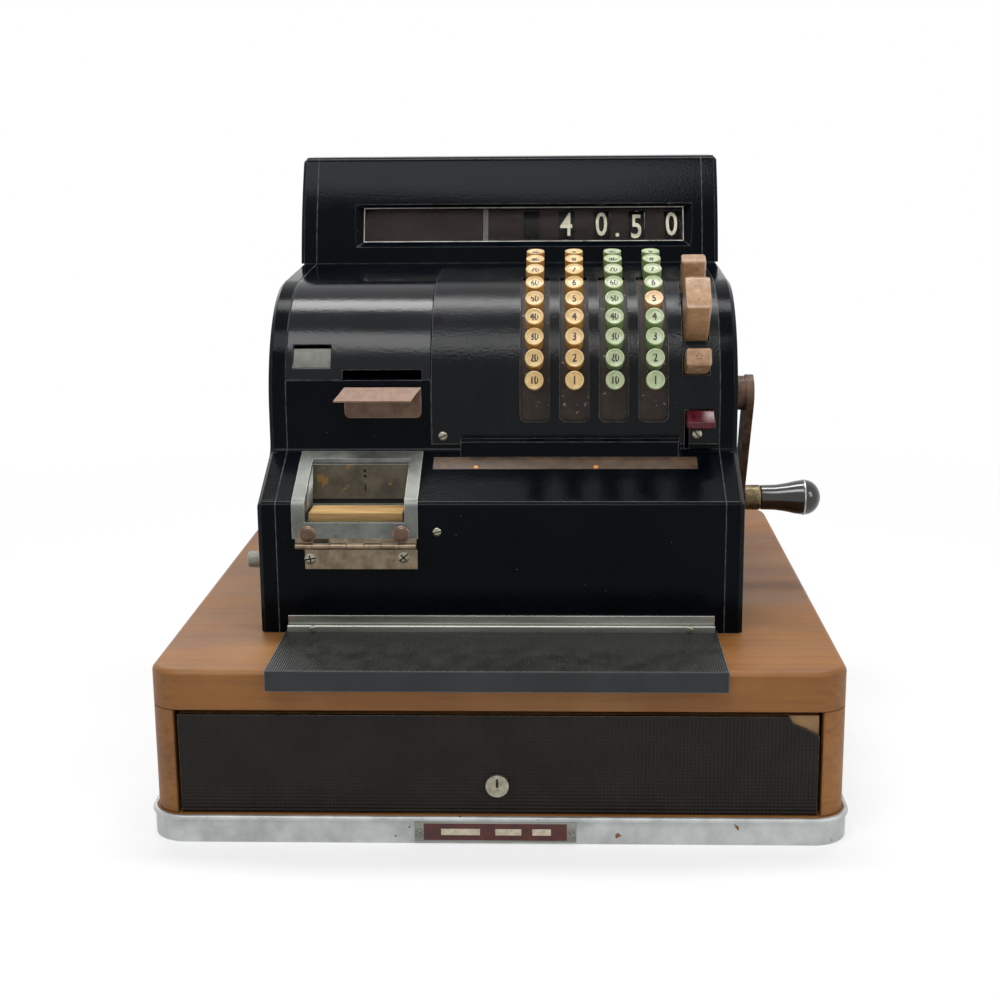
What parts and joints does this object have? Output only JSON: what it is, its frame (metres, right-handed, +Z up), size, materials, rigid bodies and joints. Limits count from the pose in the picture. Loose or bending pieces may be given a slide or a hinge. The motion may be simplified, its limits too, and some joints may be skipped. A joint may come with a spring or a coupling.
{
  "type": "ticket register",
  "caption": "Counter-top ticket register: black drum casing with banks of amount keys, indicator window, crank and hinged ticket chute on a wooden cash-drawer cabinet.",
  "frame": {"origin": "middle of the cabinet's underside, where the plinth rests on the counter", "axes": "+X to the operator's right, +Y to the back, +Z up"},
  "size_m": [0.4965, 0.5126, 0.462],
  "materials": {
    "galvanised_plinth": "mottled galvanised sheet",
    "cabinet_wood": "stained and varnished hardwood",
    "drawer_wood": "plain planed board",
    "drawer_laminate": "black embossed laminate",
    "lock_steel": "plated lock barrel",
    "frame_enamel": "black stoved enamel",
    "cover_enamel": "black stoved enamel",
    "key_bed_fibre": "brown vulcanised fibre",
    "tear_copper": "dull copper sheet",
    "chute_zinc": "mottled zinc",
    "hinge_steel": "worn steel",
    "ledge_enamel": "black ribbed sheet",
    "window_glass": "clear pane",
    "wheel_black": "black wheels with ivory digits",
    "crank_steel": "browned steel",
    "grip_black": "glossy black grip with a brass ferrule",
    "knob_grey": "pale grey moulded knob",
    "lever_red": "dark red lever",
    "key_tan": "tan moulded key",
    "key_amber": "amber cream key",
    "key_green": "pale green key"
  },
  "bodies": {
    "casing": {"plinth": "galvanised_plinth", "wood_cabinet": "cabinet_wood", "end_frames": "frame_enamel", "front_cover": "cover_enamel", "drum_cover": "cover_enamel", "keyboard_panel": "cover_enamel", "key_bed": "key_bed_fibre", "tear_plate": "tear_copper", "chute_hinge": "hinge_steel", "coin_ledge": "ledge_enamel", "indicator_housing": "cover_enamel", "indicator_glass": "window_glass"},
    "drawer": {"drawer_box": "drawer_wood", "drawer_facing": "drawer_laminate"},
    "drawer_lock": {"drawer_lock": "lock_steel"},
    "crank": {"crank_arm": "crank_steel"},
    "grip": {"crank_grip": "grip_black"},
    "chute": {"ticket_chute": "chute_zinc"},
    "selector_lever": {"selector_lever": "lever_red"},
    "motor_bar": {"motor_bar": "key_tan"},
    "total_key": {"total_key": "key_tan"},
    "star_key": {"star_key": "key_tan"},
    "number_wheels": {"number_wheels": "wheel_black"},
    "side_knob": {"side_knob": "knob_grey"},
    "key_bank1_row1": {"key_bank1_row1": "key_amber"},
    "key_bank1_row2": {"key_bank1_row2": "key_amber"},
    "key_bank1_row3": {"key_bank1_row3": "key_amber"},
    "key_bank1_row4": {"key_bank1_row4": "key_amber"},
    "key_bank1_row5": {"key_bank1_row5": "key_amber"},
    "key_bank1_row6": {"key_bank1_row6": "key_amber"},
    "key_bank1_row7": {"key_bank1_row7": "key_amber"},
    "key_bank1_row8": {"key_bank1_row8": "key_amber"},
    "key_bank1_row9": {"key_bank1_row9": "key_amber"},
    "key_bank2_row1": {"key_bank2_row1": "key_amber"},
    "key_bank2_row2": {"key_bank2_row2": "key_amber"},
    "key_bank2_row3": {"key_bank2_row3": "key_amber"},
    "key_bank2_row4": {"key_bank2_row4": "key_amber"},
    "key_bank2_row5": {"key_bank2_row5": "key_amber"},
    "key_bank2_row6": {"key_bank2_row6": "key_amber"},
    "key_bank2_row7": {"key_bank2_row7": "key_amber"},
    "key_bank2_row8": {"key_bank2_row8": "key_amber"},
    "key_bank2_row9": {"key_bank2_row9": "key_amber"},
    "key_bank3_row1": {"key_bank3_row1": "key_green"},
    "key_bank3_row2": {"key_bank3_row2": "key_green"},
    "key_bank3_row3": {"key_bank3_row3": "key_green"},
    "key_bank3_row4": {"key_bank3_row4": "key_green"},
    "key_bank3_row5": {"key_bank3_row5": "key_green"},
    "key_bank3_row6": {"key_bank3_row6": "key_green"},
    "key_bank3_row7": {"key_bank3_row7": "key_green"},
    "key_bank3_row8": {"key_bank3_row8": "key_green"},
    "key_bank3_row9": {"key_bank3_row9": "key_green"},
    "key_bank4_row1": {"key_bank4_row1": "key_green"},
    "key_bank4_row2": {"key_bank4_row2": "key_green"},
    "key_bank4_row3": {"key_bank4_row3": "key_green"},
    "key_bank4_row4": {"key_bank4_row4": "key_green"},
    "key_bank4_row5": {"key_bank4_row5": "key_green"},
    "key_bank4_row6": {"key_bank4_row6": "key_green"},
    "key_bank4_row7": {"key_bank4_row7": "key_green"},
    "key_bank4_row8": {"key_bank4_row8": "key_green"},
    "key_bank4_row9": {"key_bank4_row9": "key_green"}
  },
  "joints": [
    {"name": "drawer_slide", "type": "slide", "parent": "casing", "child": "drawer", "axis": [0, -1, 0], "range_m": [0, 0.36]},
    {"name": "crank_turn", "type": "hinge", "parent": "casing", "child": "crank", "pos_m": [0.19, -0.072, 0.287], "axis": [1, 0, 0], "continuous": true},
    {"name": "grip_spin", "type": "hinge", "parent": "crank", "child": "grip", "pos_m": [0.22, -0.02, 0.194], "axis": [1, 0, 0], "continuous": true},
    {"name": "chute_swing", "type": "hinge", "parent": "casing", "child": "chute", "pos_m": [-0.105, -0.1645, 0.1897], "axis": [1, 0, 0], "range_deg": [0, 95]},
    {"name": "selector_lever_swing", "type": "hinge", "parent": "casing", "child": "selector_lever", "pos_m": [0.138, -0.045, 0.2625], "axis": [1, 0, 0], "range_deg": [0, 12.4]},
    {"name": "motor_bar_press", "type": "slide", "parent": "casing", "child": "motor_bar", "axis": [0, 0.7046, -0.7096], "range_m": [0, 0.005], "stiffness_N_per_m": 250, "springref_m": -0.005},
    {"name": "total_key_press", "type": "slide", "parent": "casing", "child": "total_key", "axis": [0, 0.3633, -0.9317], "range_m": [0, 0.005], "stiffness_N_per_m": 250, "springref_m": -0.005},
    {"name": "star_key_press", "type": "slide", "parent": "casing", "child": "star_key", "axis": [0, 0.9323, -0.3616], "range_m": [0, 0.005], "stiffness_N_per_m": 250, "springref_m": -0.005},
    {"name": "number_wheels_turn", "type": "hinge", "parent": "casing", "child": "number_wheels", "pos_m": [0, 0.13429, 0.39069], "axis": [1, 0, 0], "continuous": true},
    {"name": "side_knob_turn", "type": "hinge", "parent": "casing", "child": "side_knob", "pos_m": [-0.18, -0.135, 0.1726], "axis": [1, 0, 0], "continuous": true},
    {"name": "lock_turn", "type": "hinge", "parent": "drawer", "child": "drawer_lock", "pos_m": [0, -0.2386, 0.0413], "axis": [0, 1, 0], "range_deg": [0, 90]},
    {"name": "key_bank1_row1_press", "type": "slide", "parent": "casing", "child": "key_bank1_row1", "axis": [0, 0.9746, -0.2241], "range_m": [0, 0.004], "stiffness_N_per_m": 150, "springref_m": -0.004},
    {"name": "key_bank1_row2_press", "type": "slide", "parent": "casing", "child": "key_bank1_row2", "axis": [0, 0.9325, -0.3611], "range_m": [0, 0.004], "stiffness_N_per_m": 150, "springref_m": -0.004},
    {"name": "key_bank1_row3_press", "type": "slide", "parent": "casing", "child": "key_bank1_row3", "axis": [0, 0.8713, -0.4908], "range_m": [0, 0.004], "stiffness_N_per_m": 150, "springref_m": -0.004},
    {"name": "key_bank1_row4_press", "type": "slide", "parent": "casing", "child": "key_bank1_row4", "axis": [0, 0.7922, -0.6103], "range_m": [0, 0.004], "stiffness_N_per_m": 150, "springref_m": -0.004},
    {"name": "key_bank1_row5_press", "type": "slide", "parent": "casing", "child": "key_bank1_row5", "axis": [0, 0.6968, -0.7173], "range_m": [0, 0.004], "stiffness_N_per_m": 150, "springref_m": -0.004},
    {"name": "key_bank1_row6_press", "type": "slide", "parent": "casing", "child": "key_bank1_row6", "axis": [0, 0.5871, -0.8095], "range_m": [0, 0.004], "stiffness_N_per_m": 150, "springref_m": -0.004},
    {"name": "key_bank1_row7_press", "type": "slide", "parent": "casing", "child": "key_bank1_row7", "axis": [0, 0.4653, -0.8851], "range_m": [0, 0.004], "stiffness_N_per_m": 150, "springref_m": -0.004},
    {"name": "key_bank1_row8_press", "type": "slide", "parent": "casing", "child": "key_bank1_row8", "axis": [0, 0.334, -0.9426], "range_m": [0, 0.004], "stiffness_N_per_m": 150, "springref_m": -0.004},
    {"name": "key_bank1_row9_press", "type": "slide", "parent": "casing", "child": "key_bank1_row9", "axis": [0, 0.1958, -0.9806], "range_m": [0, 0.004], "stiffness_N_per_m": 150, "springref_m": -0.004},
    {"name": "key_bank2_row1_press", "type": "slide", "parent": "casing", "child": "key_bank2_row1", "axis": [0, 0.9746, -0.2241], "range_m": [0, 0.004], "stiffness_N_per_m": 150, "springref_m": -0.004},
    {"name": "key_bank2_row2_press", "type": "slide", "parent": "casing", "child": "key_bank2_row2", "axis": [0, 0.9325, -0.3611], "range_m": [0, 0.004], "stiffness_N_per_m": 150, "springref_m": -0.004},
    {"name": "key_bank2_row3_press", "type": "slide", "parent": "casing", "child": "key_bank2_row3", "axis": [0, 0.8713, -0.4908], "range_m": [0, 0.004], "stiffness_N_per_m": 150, "springref_m": -0.004},
    {"name": "key_bank2_row4_press", "type": "slide", "parent": "casing", "child": "key_bank2_row4", "axis": [0, 0.7922, -0.6103], "range_m": [0, 0.004], "stiffness_N_per_m": 150, "springref_m": -0.004},
    {"name": "key_bank2_row5_press", "type": "slide", "parent": "casing", "child": "key_bank2_row5", "axis": [0, 0.6968, -0.7173], "range_m": [0, 0.004], "stiffness_N_per_m": 150, "springref_m": -0.004},
    {"name": "key_bank2_row6_press", "type": "slide", "parent": "casing", "child": "key_bank2_row6", "axis": [0, 0.5871, -0.8095], "range_m": [0, 0.004], "stiffness_N_per_m": 150, "springref_m": -0.004},
    {"name": "key_bank2_row7_press", "type": "slide", "parent": "casing", "child": "key_bank2_row7", "axis": [0, 0.4653, -0.8851], "range_m": [0, 0.004], "stiffness_N_per_m": 150, "springref_m": -0.004},
    {"name": "key_bank2_row8_press", "type": "slide", "parent": "casing", "child": "key_bank2_row8", "axis": [0, 0.334, -0.9426], "range_m": [0, 0.004], "stiffness_N_per_m": 150, "springref_m": -0.004},
    {"name": "key_bank2_row9_press", "type": "slide", "parent": "casing", "child": "key_bank2_row9", "axis": [0, 0.1958, -0.9806], "range_m": [0, 0.004], "stiffness_N_per_m": 150, "springref_m": -0.004},
    {"name": "key_bank3_row1_press", "type": "slide", "parent": "casing", "child": "key_bank3_row1", "axis": [0, 0.9746, -0.2241], "range_m": [0, 0.004], "stiffness_N_per_m": 150, "springref_m": -0.004},
    {"name": "key_bank3_row2_press", "type": "slide", "parent": "casing", "child": "key_bank3_row2", "axis": [0, 0.9325, -0.3611], "range_m": [0, 0.004], "stiffness_N_per_m": 150, "springref_m": -0.004},
    {"name": "key_bank3_row3_press", "type": "slide", "parent": "casing", "child": "key_bank3_row3", "axis": [0, 0.8713, -0.4908], "range_m": [0, 0.004], "stiffness_N_per_m": 150, "springref_m": -0.004},
    {"name": "key_bank3_row4_press", "type": "slide", "parent": "casing", "child": "key_bank3_row4", "axis": [0, 0.7922, -0.6103], "range_m": [0, 0.004], "stiffness_N_per_m": 150, "springref_m": -0.004},
    {"name": "key_bank3_row5_press", "type": "slide", "parent": "casing", "child": "key_bank3_row5", "axis": [0, 0.6968, -0.7173], "range_m": [0, 0.004], "stiffness_N_per_m": 150, "springref_m": -0.004},
    {"name": "key_bank3_row6_press", "type": "slide", "parent": "casing", "child": "key_bank3_row6", "axis": [0, 0.5871, -0.8095], "range_m": [0, 0.004], "stiffness_N_per_m": 150, "springref_m": -0.004},
    {"name": "key_bank3_row7_press", "type": "slide", "parent": "casing", "child": "key_bank3_row7", "axis": [0, 0.4653, -0.8851], "range_m": [0, 0.004], "stiffness_N_per_m": 150, "springref_m": -0.004},
    {"name": "key_bank3_row8_press", "type": "slide", "parent": "casing", "child": "key_bank3_row8", "axis": [0, 0.334, -0.9426], "range_m": [0, 0.004], "stiffness_N_per_m": 150, "springref_m": -0.004},
    {"name": "key_bank3_row9_press", "type": "slide", "parent": "casing", "child": "key_bank3_row9", "axis": [0, 0.1958, -0.9806], "range_m": [0, 0.004], "stiffness_N_per_m": 150, "springref_m": -0.004},
    {"name": "key_bank4_row1_press", "type": "slide", "parent": "casing", "child": "key_bank4_row1", "axis": [0, 0.9746, -0.2241], "range_m": [0, 0.004], "stiffness_N_per_m": 150, "springref_m": -0.004},
    {"name": "key_bank4_row2_press", "type": "slide", "parent": "casing", "child": "key_bank4_row2", "axis": [0, 0.9325, -0.3611], "range_m": [0, 0.004], "stiffness_N_per_m": 150, "springref_m": -0.004},
    {"name": "key_bank4_row3_press", "type": "slide", "parent": "casing", "child": "key_bank4_row3", "axis": [0, 0.8713, -0.4908], "range_m": [0, 0.004], "stiffness_N_per_m": 150, "springref_m": -0.004},
    {"name": "key_bank4_row4_press", "type": "slide", "parent": "casing", "child": "key_bank4_row4", "axis": [0, 0.7922, -0.6103], "range_m": [0, 0.004], "stiffness_N_per_m": 150, "springref_m": -0.004},
    {"name": "key_bank4_row5_press", "type": "slide", "parent": "casing", "child": "key_bank4_row5", "axis": [0, 0.6968, -0.7173], "range_m": [0, 0.004], "stiffness_N_per_m": 150, "springref_m": -0.004},
    {"name": "key_bank4_row6_press", "type": "slide", "parent": "casing", "child": "key_bank4_row6", "axis": [0, 0.5871, -0.8095], "range_m": [0, 0.004], "stiffness_N_per_m": 150, "springref_m": -0.004},
    {"name": "key_bank4_row7_press", "type": "slide", "parent": "casing", "child": "key_bank4_row7", "axis": [0, 0.4653, -0.8851], "range_m": [0, 0.004], "stiffness_N_per_m": 150, "springref_m": -0.004},
    {"name": "key_bank4_row8_press", "type": "slide", "parent": "casing", "child": "key_bank4_row8", "axis": [0, 0.334, -0.9426], "range_m": [0, 0.004], "stiffness_N_per_m": 150, "springref_m": -0.004},
    {"name": "key_bank4_row9_press", "type": "slide", "parent": "casing", "child": "key_bank4_row9", "axis": [0, 0.1958, -0.9806], "range_m": [0, 0.004], "stiffness_N_per_m": 150, "springref_m": -0.004}
  ]
}
